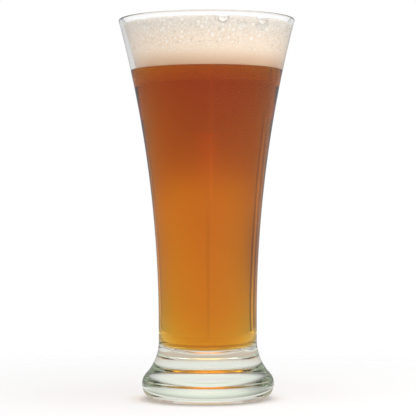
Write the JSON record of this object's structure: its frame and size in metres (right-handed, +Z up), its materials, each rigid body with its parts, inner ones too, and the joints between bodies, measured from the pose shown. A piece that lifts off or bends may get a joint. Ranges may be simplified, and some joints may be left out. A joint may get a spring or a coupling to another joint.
{
  "type": "pilsner glass",
  "caption": "Footed pilsner glass with a flared wall, narrow waist and heavy rounded foot, filled with clear amber beer under a head of foam.",
  "frame": {"origin": "centre of the foot's resting ring, on the table", "axes": "+Z up along the glass's axis; -Y faces the viewer of the picture and +X is to that viewer's right"},
  "size_m": [0.0836, 0.0836, 0.18],
  "materials": {
    "clear_glass": "polished",
    "amber_beer": "gloss",
    "beer_foam": "matte",
    "bubble_film": "gloss"
  },
  "bodies": {
    "root": {"glass": "clear_glass", "beer": "amber_beer", "foam_head": "beer_foam", "large_bubbles": "bubble_film"}
  },
  "joints": []
}
